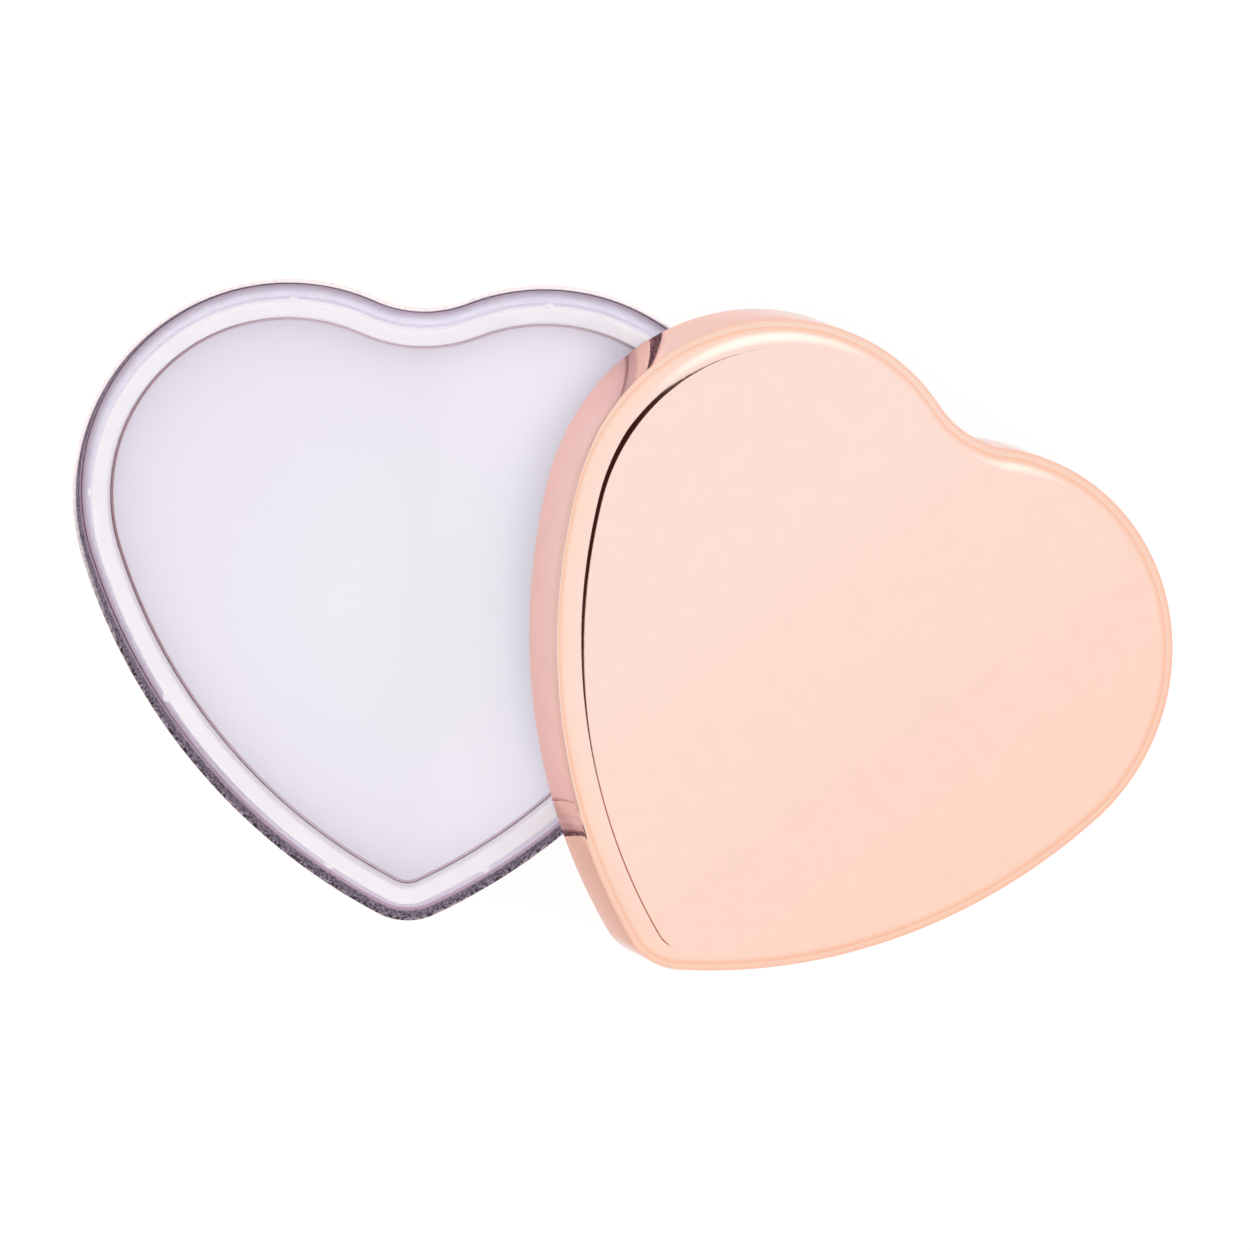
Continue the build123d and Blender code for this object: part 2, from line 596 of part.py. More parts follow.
post_places = [
    (-PLATE_LEFT + POST_INSET, PLATE_FRONT + POST_INSET),
    (PLATE_RIGHT - POST_INSET, PLATE_FRONT + POST_INSET),
    (-PLATE_LEFT + BACK_POST_INSET, PLATE_BACK - POST_INSET),
]
bracket_screw_x = -BRACKET_STATION[0] + FOOT_SCREW_INSET
frame_screw_places = [
    (bracket_screw_x, BARREL_Y + BRACKET_SCREW_REACH),
    (bracket_screw_x, BARREL_Y - BRACKET_SCREW_REACH),
]
frame_foot = (-(FRAME_STATION[1] + FRAME_END_STATION[0]) / 2, FRAME_FRONT_Y + FOOT_SCREW_INSET)
comb_screw_places = [
    (-DRUM_STATION[0] - COMB_SCREW_INSET, COMB_ROOT_Y - COMB_SCREW_INSET),
    (-DRUM_STATION[1] + COMB_SCREW_INSET, COMB_ROOT_Y - COMB_SCREW_INSET),
]
bedplate_holes = post_places + frame_screw_places + lug_places + comb_screw_places + [frame_foot]

with BuildPart() as bedplate:
    with BuildSketch(Plane.XY.offset(PLATE_BOTTOM)) as plate:
        with Locations(((PLATE_RIGHT - PLATE_LEFT) / 2, (PLATE_FRONT + PLATE_BACK) / 2)):
            RectangleRounded(PLATE_RIGHT + PLATE_LEFT, PLATE_BACK - PLATE_FRONT, PLATE_ROUND)
        with Locations(barrel):
            Circle(ARBOR_RADIUS + FIT, mode=Mode.SUBTRACT)
        for place in bedplate_holes:
            with Locations(place):
                Circle(SCREW_SHANK + FIT, mode=Mode.SUBTRACT)
    extrude(amount=PLATE_THICKNESS)
save(bedplate, "bedplate")

with BuildPart() as bedplate_posts:
    for place in post_places:
        disc(place, POST_RADIUS, FLOOR_TOP, PLATE_BOTTOM)
        hole_bottom = PLATE_BOTTOM - POST_SCREW_DEPTH - 2 * FIT
        disc(place, SCREW_SHANK + FIT, hole_bottom, PLATE_BOTTOM + PAST, mode=Mode.SUBTRACT)
save(bedplate_posts, "bedplate_posts")

with BuildPart() as bedplate_screws:
    for place in post_places:
        screw(place, PLATE_TOP, PLATE_BOTTOM - POST_SCREW_DEPTH)
save(bedplate_screws, "bedplate_screws")

# ---------------------------------------------------------------- cylinder

# shaft: carries pinion, drum and wheel between its two bearings
with BuildPart() as cylinder_shaft:
    cross_disc(SHAFT_RADIUS, SHAFT_START, FRAME_STATION[1] + SHAFT_END_REACH)
save(cylinder_shaft, "cylinder_shaft")

with BuildPart() as cylinder_pinion:
    face_half = GREAT_FACE / 2
    gear(PINION_TEETH, GREAT_MODULE, PINION_STATION - face_half, PINION_STATION + face_half, first_tooth=90)
    cross_disc(SHAFT_RADIUS, PINION_STATION - GREAT_FACE, PINION_STATION + GREAT_FACE, mode=Mode.SUBTRACT)
save(cylinder_pinion, "cylinder_pinion")

# drum: thin tube with end walls, and pins set round it by a stepping pattern
with BuildPart() as pin_cylinder:
    drum_near, drum_far = DRUM_STATION
    hollow = DRUM_RADIUS - DRUM_WALL
    cross_disc(DRUM_RADIUS, drum_near, drum_far)
    cross_disc(hollow, drum_near + DRUM_END_WALL, drum_far - DRUM_END_WALL, mode=Mode.SUBTRACT)
    cross_disc(SHAFT_RADIUS, drum_near - PAST, drum_far + PAST, mode=Mode.SUBTRACT)
    for note in range(NOTES):
        reach = drum_near + (note + 1) * NOTE_PITCH
        for pin in range(PINS_PER_NOTE):
            angle = note * PIN_TURN + pin * 360 / PINS_PER_NOTE
            outwards = (0, cos(radians(angle)), sin(radians(angle)))
            start = DRUM_RADIUS - DRUM_WALL / 2
            origin = (-reach, BARREL_Y + start * outwards[1], CYLINDER_AXIS_Z + start * outwards[2])
            with BuildSketch(Plane(origin=origin, x_dir=(1, 0, 0), z_dir=outwards)) as pin_foot:
                Circle(PIN_RADIUS)
            extrude(pin_foot.sketch, amount=PIN_HEIGHT + DRUM_WALL / 2)
save(pin_cylinder, "pin_cylinder")

with BuildPart() as cylinder_wheel:
    gear(CYLINDER_WHEEL_TEETH, FINE_MODULE, *WHEEL_STATION)
    cross_disc(SHAFT_RADIUS, WHEEL_STATION[0] - PAST, WHEEL_STATION[1] + PAST, mode=Mode.SUBTRACT)
save(cylinder_wheel, "cylinder_wheel")

# bracket: upright with the shaft's first bearing, on a foot beside the spring housing
with BuildPart() as cylinder_bracket:
    foot_near = HOUSING_RADIUS + BRACKET_GAP
    with BuildSketch(Plane.XY.offset(PLATE_TOP)) as foot:
        with Locations((-(foot_near + BRACKET_STATION[1]) / 2, BARREL_Y)):
            Rectangle(BRACKET_STATION[1] - foot_near, BRACKET_FOOT_LENGTH)
    extrude(foot.sketch, amount=FRAME_SHEET)
    upright_bottom = PLATE_TOP - CYLINDER_AXIS_Z
    with BuildSketch(station(BRACKET_STATION[1])) as upright:
        with Locations((0, upright_bottom / 2)):
            Rectangle(BRACKET_WIDTH, -upright_bottom)
        Circle(BRACKET_WIDTH / 2)
        Circle(SHAFT_RADIUS + FIT, mode=Mode.SUBTRACT)
    extrude(upright.sketch, amount=BRACKET_STATION[1] - BRACKET_STATION[0])
    hole_top = PLATE_TOP + FRAME_SHEET + PAST
    for place in frame_screw_places:
        disc(place, SCREW_SHANK + FIT, PLATE_TOP - PAST, hole_top, mode=Mode.SUBTRACT)
save(cylinder_bracket, "cylinder_bracket")

# ---------------------------------------------------------------- governor

frame_middle = (FRAME_FRONT_Y + FRAME_BACK_Y) / 2
bridge_bottom = FRAME_TOP - FRAME_SHEET
worm_place = (WORM_X, WORM_Y)
with BuildPart() as governor_frame:
    frame_depth = FRAME_BACK_Y - FRAME_FRONT_Y
    for near, far in (FRAME_STATION, FRAME_END_STATION):
        with BuildSketch(station(far, frame_middle)) as cheek:
            with Locations((0, (FRAME_TOP + PLATE_TOP) / 2 - CYLINDER_AXIS_Z)):
                Rectangle(frame_depth, FRAME_TOP - PLATE_TOP)
        extrude(cheek.sketch, amount=far - near)
    for bottom in (PLATE_TOP, bridge_bottom):
        with BuildSketch(Plane.XY.offset(bottom)) as bridge:
            with Locations((-(FRAME_STATION[0] + FRAME_END_STATION[1]) / 2, frame_middle)):
                Rectangle(FRAME_END_STATION[1] - FRAME_STATION[0], frame_depth)
        extrude(bridge.sketch, amount=FRAME_SHEET)
    before_frame = FRAME_STATION[0] - PAST
    after_frame = FRAME_END_STATION[1] + PAST
    cross_disc(SHAFT_RADIUS + FIT, before_frame, FRAME_STATION[1] + PAST, mode=Mode.SUBTRACT)
    cross_disc(GOVERNOR_PIVOT_RADIUS + FIT, before_frame, after_frame, GOVERNOR_Y, mode=Mode.SUBTRACT)
    disc(worm_place, WORM_PIVOT_RADIUS + FIT, PLATE_TOP - PAST, FRAME_TOP + PAST, mode=Mode.SUBTRACT)
    disc(worm_place, WORM_ROOM, PLATE_TOP + FRAME_SHEET, bridge_bottom, mode=Mode.SUBTRACT)
    fly_room_bottom = bridge_bottom - FLY_HEIGHT - 2 * FLY_GAP
    disc(worm_place, FLY_ROOM, fly_room_bottom, bridge_bottom, mode=Mode.SUBTRACT)
    foot_top = PLATE_TOP + FRAME_SHEET
    disc(frame_foot, SCREW_SHANK + FIT, PLATE_TOP - PAST, foot_top + PAST, mode=Mode.SUBTRACT)
save(governor_frame, "governor_frame")

with BuildPart() as frame_screws:
    for place in frame_screw_places + [frame_foot]:
        screw(place, foot_top, PLATE_BOTTOM, head_radius=SMALL_SCREW_HEAD)
save(frame_screws, "frame_screws")

# governor arbor: pinion driven by the cylinder's wheel, on a thin arbor through the frame
with BuildPart() as governor_arbor:
    mesh_turn = 180 + 180 / ARBOR_PINION_TEETH
    gear(ARBOR_PINION_TEETH, FINE_MODULE, *WHEEL_STATION, y=GOVERNOR_Y, first_tooth=mesh_turn)
    cross_disc(GOVERNOR_PIVOT_RADIUS, WHEEL_STATION[0], FRAME_END_STATION[1], GOVERNOR_Y)
save(governor_arbor, "governor_arbor")

with BuildPart() as worm_wheel:
    gear(WORM_WHEEL_TEETH, WORM_MODULE, *WORM_WHEEL_STATION, y=GOVERNOR_Y)
    wheel_near, wheel_far = WORM_WHEEL_STATION
    cross_disc(GOVERNOR_PIVOT_RADIUS, wheel_near - PAST, wheel_far + PAST, GOVERNOR_Y, mode=Mode.SUBTRACT)
save(worm_wheel, "worm_wheel")

# worm shaft: upright, with one right-handed thread that starts in the wheel's tooth gap
thread_bottom = CYLINDER_AXIS_Z - WORM_TURNS_BELOW * WORM_PITCH
thread_top = thread_bottom + WORM_TURNS * WORM_PITCH
thread_reach = 2 * ADDENDUM_SHARE * WORM_MODULE
crest_half = WORM_PITCH * TOOTH_SHARE * TOOTH_TIP_SHARE / 2
root_half = WORM_PITCH * TOOTH_SHARE * TOOTH_ROOT_SHARE / 2
with BuildPart() as worm_shaft:
    core = WORM_RADIUS - ADDENDUM_SHARE * WORM_MODULE
    with BuildLine(Plane(origin=(WORM_X, WORM_Y, thread_bottom), z_dir=(0, 0, 1))) as thread_path:
        Helix(pitch=WORM_PITCH, height=WORM_TURNS * WORM_PITCH, radius=core)
    thread = thread_path.line
    with BuildSketch(Plane(origin=thread @ 0, x_dir=(1, 0, 0), z_dir=thread % 0)) as ridge:
        with BuildLine():
            Polyline(
                (-THREAD_OVERLAP, -root_half),
                (thread_reach, -crest_half),
                (thread_reach, crest_half),
                (-THREAD_OVERLAP, root_half),
                close=True,
            )
        make_face()
    sweep(ridge.sketch, path=thread, is_frenet=True)
    collar_under, collar_over = WORM_COLLARS
    disc(worm_place, core, thread_bottom - collar_under, thread_top + collar_over)
    disc(worm_place, WORM_PIVOT_RADIUS, PLATE_TOP + 2 * FIT, FRAME_TOP)
save(worm_shaft, "worm_shaft")

# air brake: two-bladed fly that slows the train
with BuildPart() as air_brake:
    fly_top = bridge_bottom - FLY_GAP
    fly_bottom = fly_top - FLY_HEIGHT
    disc(worm_place, FLY_HUB_RADIUS, fly_bottom, fly_top)
    with BuildSketch(Plane.XY.offset(fly_bottom)) as blades:
        with Locations(worm_place):
            Rectangle(FLY_SPAN, FLY_THICKNESS, rotation=45)
    extrude(blades.sketch, amount=FLY_HEIGHT)
    disc(worm_place, WORM_PIVOT_RADIUS, fly_bottom - PAST, fly_top + PAST, mode=Mode.SUBTRACT)
save(air_brake, "air_brake")

# ---------------------------------------------------------------- comb

comb_bottom = CYLINDER_AXIS_Z - COMB_THICKNESS / 2
comb_near = DRUM_STATION[0] + NOTE_PITCH / 2
comb_middle = -(DRUM_STATION[0] + DRUM_STATION[1]) / 2
comb_width = NOTES * NOTE_PITCH
with BuildPart() as comb_anvil:
    with BuildSketch(Plane.XY.offset(PLATE_TOP)) as block:
        with Locations((comb_middle, (COMB_BACK_Y + COMB_ROOT_Y) / 2)):
            Rectangle(comb_width, COMB_ROOT_Y - COMB_BACK_Y)
    extrude(amount=comb_bottom - PLATE_TOP)
    for place in comb_screw_places:
        disc(place, SCREW_SHANK + FIT, PLATE_TOP - PAST, comb_bottom + PAST, mode=Mode.SUBTRACT)
save(comb_anvil, "comb_anvil")

# comb: one steel plate slit into graded teeth, longest at the low notes
with BuildPart() as comb:
    with BuildSketch(Plane.XY.offset(comb_bottom)) as comb_plate:
        with Locations((comb_middle, (COMB_BACK_Y + COMB_TIP_Y) / 2)):
            Rectangle(comb_width, COMB_LENGTH)
        for slot in range(1, NOTES):
            depth = TOOTH_LENGTH * (1 - TOOTH_GRADING * slot / NOTES)
            with Locations((-(comb_near + slot * NOTE_PITCH), COMB_TIP_Y + (PAST - depth) / 2)):
                Rectangle(COMB_SLOT, depth + PAST, mode=Mode.SUBTRACT)
    extrude(amount=COMB_THICKNESS)
    comb_top = comb_bottom + COMB_THICKNESS
    for place in comb_screw_places:
        disc(place, SCREW_SHANK + FIT, comb_bottom - PAST, comb_top + PAST, mode=Mode.SUBTRACT)
save(comb, "comb")

with BuildPart() as comb_screws:
    for place in comb_screw_places:
        screw(place, comb_top, PLATE_BOTTOM)
save(comb_screws, "comb_screws")
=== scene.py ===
import json
from math import atan2, cos, pi, radians, sin, sqrt, tan

import bpy
from mathutils import Matrix, Vector


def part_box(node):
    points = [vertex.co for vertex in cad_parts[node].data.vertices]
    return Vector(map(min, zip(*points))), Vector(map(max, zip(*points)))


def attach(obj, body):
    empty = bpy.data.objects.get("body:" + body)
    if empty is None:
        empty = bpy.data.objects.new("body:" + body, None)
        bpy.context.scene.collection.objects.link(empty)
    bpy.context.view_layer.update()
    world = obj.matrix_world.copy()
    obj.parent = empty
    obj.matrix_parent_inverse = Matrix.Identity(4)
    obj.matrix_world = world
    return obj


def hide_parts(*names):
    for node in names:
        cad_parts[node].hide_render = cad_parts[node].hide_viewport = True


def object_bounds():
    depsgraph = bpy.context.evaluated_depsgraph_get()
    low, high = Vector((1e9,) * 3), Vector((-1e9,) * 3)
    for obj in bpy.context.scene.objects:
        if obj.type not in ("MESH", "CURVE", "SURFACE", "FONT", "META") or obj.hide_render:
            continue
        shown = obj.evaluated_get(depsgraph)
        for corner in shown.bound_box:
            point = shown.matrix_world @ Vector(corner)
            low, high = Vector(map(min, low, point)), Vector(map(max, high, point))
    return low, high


# The looks of a heart-shaped wind-up music box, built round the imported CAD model.
# Lengths are in metres. +Z is up and +Y points at the cleft between the heart's lobes.

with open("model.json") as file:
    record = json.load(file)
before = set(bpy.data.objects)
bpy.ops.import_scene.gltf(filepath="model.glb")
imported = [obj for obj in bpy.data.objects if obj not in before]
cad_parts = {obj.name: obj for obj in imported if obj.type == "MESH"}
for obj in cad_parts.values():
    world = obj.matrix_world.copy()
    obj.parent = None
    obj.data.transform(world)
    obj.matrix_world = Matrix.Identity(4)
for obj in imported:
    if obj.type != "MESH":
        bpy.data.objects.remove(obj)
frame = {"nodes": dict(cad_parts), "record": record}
cad_low, cad_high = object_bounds()
nodes = frame["nodes"]

MM = 0.001
X_AXIS = (1, 0, 0)
Y_AXIS = (0, 1, 0)
Z_AXIS = (0, 0, 1)

# ---------------------------------------------------------------- driving dimensions

# heart outline, as in the CAD model
LOBE_X = 18.6 * MM
LOBE_RADIUS = 31.4 * MM
CLEFT_RADIUS = 16.8 * MM
SIDE_RADIUS = 88.0 * MM
SIDE_START = radians(18.5)
TIP_RADIUS = 9.2 * MM
ARC_STEP = 0.35 * MM  # spacing of the points along the outline
ARC_STEPS_MIN = 4  # on the shortest arcs

# pressed sheet of the case and the lid
SHEET = 0.5 * MM
CASE_DRAFT = radians(4.3)
FLOOR_ROUND = 3.0 * MM
WELL_HOLE = 14.55 * MM  # radius of the hole in the floor
LEDGE_THICKNESS = 1.0 * MM

# lid, and how it leans
LID_DEPTH = 14.0 * MM
CROWN_REACH = 3.9 * MM  # how far the crown's curve runs in from the wall
CROWN_DROP = 3.1 * MM  # and how far it drops
CROWN_POWER = 2.3  # 2 is a plain ellipse, more keeps the top flatter
LID_TURN = radians(-31.1)
LID_LEAN = radians(20.2)
LID_LEAN_TOWARDS = radians(-9.3)
LID_RIM_CENTRE = (62.6 * MM, -11.9 * MM, 16.9 * MM)  # from the base's lobe line

# how finely the round stretches are drawn
RIM_STEPS = 8
HEEL_STEPS = 10
INNER_HEEL_STEPS = 8
CROWN_STEPS = 48
INNER_CROWN_STEPS = 12
# close rings just past the crown keep the flat top's shading flat
TOP_RINGS = (0.05 * MM, 0.1 * MM, 0.2 * MM)
INNER_TOP_RING = 1.0 * MM

# camera
CAMERA_DISTANCE = 3.0
CAMERA_TILT = radians(5.5)  # from straight down, towards +Y
CAMERA_ROLL = radians(1.5)
CAMERA_CLIP = (0.1, 50.0)
VIEW_WIDTH = 0.1818
SENSOR = 36.0  # in millimetres, as the lens is
AIM = (30.77 * MM, -17.72 * MM)  # from the base's lobe line

# floor
FLOOR_HALF = 12.0
FLOOR_DROP = 0.1 * MM  # below the pad
FLOOR_COLOUR = (0.18, 0.18, 0.18)
FLOOR_GLOW = 0.86

# sky, as angles from straight up towards +X and then towards +Y
SKY_LEVEL = 1.09
HORIZON_LIGHT = (0.96, 0.79, 0.68)
HORIZON_FADES = (0.05, 0.5)  # heights on a sky of radius 1
PATCH_PLACE = (radians(36), radians(27))
PATCH_INNER = radians(4)
PATCH_OUTER = radians(24)
PATCH_LEVEL = 1.4
# corners of a dark flag, in degrees, against the clock
FLAG = ((40.2, -8.2), (30.2, 0.6), (22.5, 0.2), (24.5, -11.5), (31.0, -15.4))
FLAG_CORE = ((39.8, -7.9), (30.2, 0.6), (22.5, 0.2), (24.5, -11.5), (29.0, -14.2))
FLAG_TAIL = ((34.4, -13.0), (30.8, -14.8), (33.6, -22.0), (37.0, -22.0))
FLAG_SOFT = 0.4
FLAG_COLOUR = (0.16, 0.055, 0.035)
FLAG_CORE_COLOUR = (0.04, 0.012, 0.01)
FLAG_TAIL_COLOUR = (0.40, 0.11, 0.04)

# ---------------------------------------------------------------- colours

# all are linear red, green and blue, and a pair of tones holds the two ends of a mix
WHITE = (1.0, 1.0, 1.0)
BLACK = (0.0, 0.0, 0.0)

# rose-gold plate, with a painted reflection tint: pinker on one side, warmer on the other
ROSE_TONES = ((0.93, 0.685, 0.615), (0.93, 0.615, 0.495))
ROSE_GRAZING = (1.0, 0.74, 0.66)  # where it is seen along the surface
ROSE_WARMS_TOWARDS = (0.6, -0.8, 0.0)
ROSE_WARMS_OVER = (20 * MM, 95 * MM)  # along that direction
# painted reflection tints of the plate at depths below the lid's flat top
DEPTH_REFLECTION_TINTS = (
    (0.0 * MM, WHITE),
    (0.8 * MM, (1.0, 0.965, 0.90)),
    (3.0 * MM, (0.98, 0.935, 0.86)),
    (4.5 * MM, (1.06, 1.08, 1.09)),
)
# painted reflections on the lid's wall: darker on the sides that face away from the base, cooler at the
# far end, at places along WALL_ACROSS
WALL_ACROSS = (1, 1, 0)
WALL_PAINTED_REFLECTIONS = (
    (-7.8 * MM, (0.64, 0.60, 0.60)),
    (-5.8 * MM, WHITE),
    (72.0 * MM, WHITE),
    (75.0 * MM, (0.84, 0.92, 1.0)),
)
WALL_STARTS = (3.1 * MM, 3.7 * MM)  # depths below the lid's flat top, where the painted wall reflections start

# bare metal inside the case
RAW_TONES = ((0.04, 0.025, 0.035), (0.38, 0.30, 0.36))
RAW_PALE = (0.88, 0.72, 0.76)
RAW_PALE_BAND = 2.6 * MM  # height of the paler band above the ledge
RIM_TONES = ((0.86, 0.76, 0.77), (0.95, 0.87, 0.86))
RIM_PAINTED_LIGHT_OVER = (-8 * MM, 18 * MM)  # along Y; painted light brightens the rim towards the cleft, and painted shade gives it the wall's dark specks towards the tip

# milky moulding, and a painted glow that stands in for light coming through the neck's thin wall
MOULDING_TONES = ((0.775, 0.75, 0.815), (0.805, 0.785, 0.84))
LIGHT_TRAVELS = 3.0 * MM  # how far light spreads inside it
LIGHT_TRAVELS_SHARES = (1.0, 0.85, 1.0)  # of that, for red, green and blue
NECK_PAINTED_GLOW = (0.38, 0.375, 0.43)
# share of the painted glow left at heights above the ledge
NECK_PAINTED_GLOW_LEFT = ((5.0 * MM, 1.0), (10.0 * MM, 0.72), (11.0 * MM, 0.0))
NECK_FACING = (-0.4, -0.1)  # the painted glow fades in between these values of facing_outwards
LEDGE_SHADE_WIDTH = 1.5 * MM  # painted shade darkens the ledge over this width towards the case's wall
LEDGE_SHADE = (0.80, 0.62, 0.71)  # share of its colour the painted shade leaves beside the wall
TIP_BRIGHTENS = (-38 * MM, -5 * MM)  # along Y, the ledge's painted shade weakens towards the tip, and its painted glow evens out
TIP_EVENNESS = 0.7

# panel and the line round it
PANEL_TONES = ((0.81, 0.805, 0.88), (0.785, 0.745, 0.84))  # in its middle and at its edge, where the darker, more purple tone is painted shade
PANEL_MIDDLE = (4 * MM, 0)
PANEL_TONE_RADII = (12 * MM, 50 * MM)
PANEL_PAINTED_LIGHT = 1.20  # painted light on the panel's +X side, where the raised lid shades it: how much paler it is there
PANEL_PAINTED_LIGHT_OVER = (0 * MM, 22 * MM)  # along X
TRIM_TONES = ((0.36, 0.18, 0.19), (0.68, 0.52, 0.60))
TRIM_PAINTED_SHADE_OVER = (-44 * MM, -15 * MM)  # along X, painted shade darkens the line towards -X
TRIM_CLOUD = 0.3

# machined metals
GLOSS_VARIES = (0.75, 1.4)  # shares of the roughness

# ---------------------------------------------------------------- worked-out dimensions

side_x = LOBE_X - (SIDE_RADIUS - LOBE_RADIUS) * cos(SIDE_START)
side_drop = (SIDE_RADIUS - LOBE_RADIUS) * sin(SIDE_START)
cleft_rise = sqrt((LOBE_RADIUS + CLEFT_RADIUS) ** 2 - LOBE_X**2)
tip_reach = sqrt((SIDE_RADIUS - TIP_RADIUS) ** 2 - side_x**2)
heart_length = LOBE_RADIUS + tip_reach - side_drop + TIP_RADIUS
lobe_y = heart_length / 2 - LOBE_RADIUS

# centres of the right half's arcs
lobe_centre = (LOBE_X, lobe_y)
cleft_centre = (0, lobe_y + cleft_rise)
side_centre = (side_x, lobe_y + side_drop)
tip_centre = (0, lobe_y + side_drop - tip_reach)

rim_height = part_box("base_shell")[1].z
case_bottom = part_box("base_shell")[0].z
ledge_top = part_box("neck_liner")[0].z + LEDGE_THICKNESS
well_low, well_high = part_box("key_well")
barrel = Vector(((well_low.x + well_high.x) / 2, (well_low.y + well_high.y) / 2, 0))

# the lid's own frame, with its rim in the XY plane, as a matrix
lid_placement = (
    Matrix.Translation(LID_RIM_CENTRE)
    @ Matrix.Translation((0, lobe_y, 0))
    @ Matrix.Rotation(LID_LEAN_TOWARDS, 4, "Z")
    @ Matrix.Rotation(LID_LEAN, 4, "Y")
    @ Matrix.Rotation(LID_TURN - LID_LEAN_TOWARDS, 4, "Z")
    @ Matrix.Translation((0, -lobe_y, 0))
)
lid_axis = lid_placement.to_3x3() @ Vector(Z_AXIS)
lid_top = lid_axis.dot(lid_placement @ Vector((0, 0, LID_DEPTH)))

# ---------------------------------------------------------------- heart-shaped meshes


def arc(centre, radius, start, sweep, concave=False):
    """Points along an arc, each with its outward direction. The last point is left out."""
    steps = max(ARC_STEPS_MIN, round(abs(sweep) * radius / ARC_STEP))
    points = []
    for step in range(steps):
        angle = start + sweep * step / steps
        direction = Vector((cos(angle), sin(angle)))
        outward = -direction if concave else direction
        points.append((Vector(centre) + radius * direction, outward))
    return points


def heart_outline():
    """The heart's outline, once round against the clock, from the tip."""
    cleft_angle = atan2(cleft_rise, LOBE_X)
    tip_angle = atan2(-tip_reach, -side_x)
    right = arc(tip_centre, TIP_RADIUS, -pi / 2, tip_angle + pi / 2)
    right += arc(side_centre, SIDE_RADIUS, tip_angle, -SIDE_START - tip_angle)
    right += arc(lobe_centre, LOBE_RADIUS, -SIDE_START, SIDE_START + pi - cleft_angle)
    right += arc(cleft_centre, CLEFT_RADIUS, -cleft_angle, cleft_angle - pi / 2, concave=True)
    cleft = (Vector((0, lobe_y + cleft_rise - CLEFT_RADIUS)), Vector((0, 1)))
    left = [(Vector((-p.x, p.y)), Vector((-n.x, n.y))) for p, n in reversed(right[1:])]
    return right + [cleft] + left


OUTLINE = heart_outline()


def heart_ring(inset, height):
    """One ring of points, the outline moved inwards by inset, at a height."""
    return [Vector((p.x - n.x * inset, p.y - n.y * inset, height)) for p, n in OUTLINE]


def circle_ring(centre, radius, height):
    """One ring of points on a circle, in line with the outline's points."""
    ring = []
    for point, _ in OUTLINE:
        direction = (Vector((point.x, point.y, 0)) - centre).normalized()
        ring.append(Vector((centre.x, centre.y, height)) + radius * direction)
    return ring


def skin(name, rings, bands, materials, capped=False):
    """A mesh skinned over rings of points. bands holds each band's material, as a number."""
    count = len(rings[0])
    vertices = [point for ring in rings for point in ring]
    faces, face_materials = [], []
    if capped:
        faces.append(tuple(reversed(range(count))))
        face_materials.append(bands[0])
    for band, number in enumerate(bands):
        low, high = band * count, (band + 1) * count
        for i in range(count):
            j = (i + 1) % count
            faces.append((low + i, low + j, high + j, high + i))
            face_materials.append(number)
    if capped:
        faces.append(tuple(range((len(rings) - 1) * count, len(rings) * count)))
        face_materials.append(bands[-1])
    mesh = bpy.data.meshes.new(name)
    mesh.from_pydata(vertices, [], faces)
    for material in materials:
        mesh.materials.append(material)
    mesh.polygons.foreach_set("material_index", face_materials)
    mesh.polygons.foreach_set("use_smooth", [True] * len(faces))
    mesh.update()
    piece = bpy.data.objects.new(name, mesh)
    bpy.context.scene.collection.objects.link(piece)
    return piece


# ---------------------------------------------------------------- material helpers

NOISE_RANGE = (0.3, 0.7)  # most of a noise's values lie inside this


def new_material(name, metallic, roughness=None):
    """A material and its main shader. Without a roughness, the caller links one."""
    material = bpy.data.materials.new(name)
    material.use_nodes = True
    shader = material.node_tree.nodes["Principled BSDF"]
    shader.inputs["Metallic"].default_value = metallic
    if roughness is not None:
        shader.inputs["Roughness"].default_value = roughness
    return material, shader


def add_node(material, kind, **settings):
    """Adds a node and sets its properties."""
    node = material.node_tree.nodes.new(kind)
    for key, value in settings.items():
        setattr(node, key, value)
    return node


def link(material, source, target):
    material.node_tree.links.new(source, target)


def spread(material, value, onto=(0, 1), over=NOISE_RANGE):
    """Maps a value from one range onto another, and keeps it inside that."""
    node = add_node(material, "ShaderNodeMapRange")
    for socket, number in zip(("From Min", "From Max", "To Min", "To Max"), (*over, *onto)):
        node.inputs[socket].default_value = number
    link(material, value, node.inputs["Value"])
    return node.outputs["Result"]


def calculate(material, operation, *values):
    """A math node on values that are numbers or other nodes' outputs."""
    node = add_node(material, "ShaderNodeMath", operation=operation)
    for socket, value in zip(node.inputs, values):
        if isinstance(value, (int, float)):
            socket.default_value = value
        else:
            link(material, value, socket)
    return node.outputs["Value"]


def scaled(material, colour, value):
    """A colour times a value."""
    node = add_node(material, "ShaderNodeVectorMath", operation="SCALE")
    link(material, colour, node.inputs[0])
    link(material, value, node.inputs["Scale"])
    return node.outputs["Vector"]


def multiplied(material, colour, tint):
    """One colour times another."""
    node = add_node(material, "ShaderNodeVectorMath", operation="MULTIPLY")
    link(material, colour, node.inputs[0])
    link(material, tint, node.inputs[1])
    return node.outputs["Vector"]


def mixed(material, share, first, second):
    """A colour from the first to the second, by a share. Each is a colour or a node's output."""
    node = add_node(material, "ShaderNodeMix", data_type="RGBA")
    for socket, colour in (("A", first), ("B", second)):
        if isinstance(colour, tuple):
            node.inputs[socket].default_value = (*colour, 1)
        else:
            link(material, colour, node.inputs[socket])
    link(material, share, node.inputs["Factor"])
    return node.outputs["Result"]


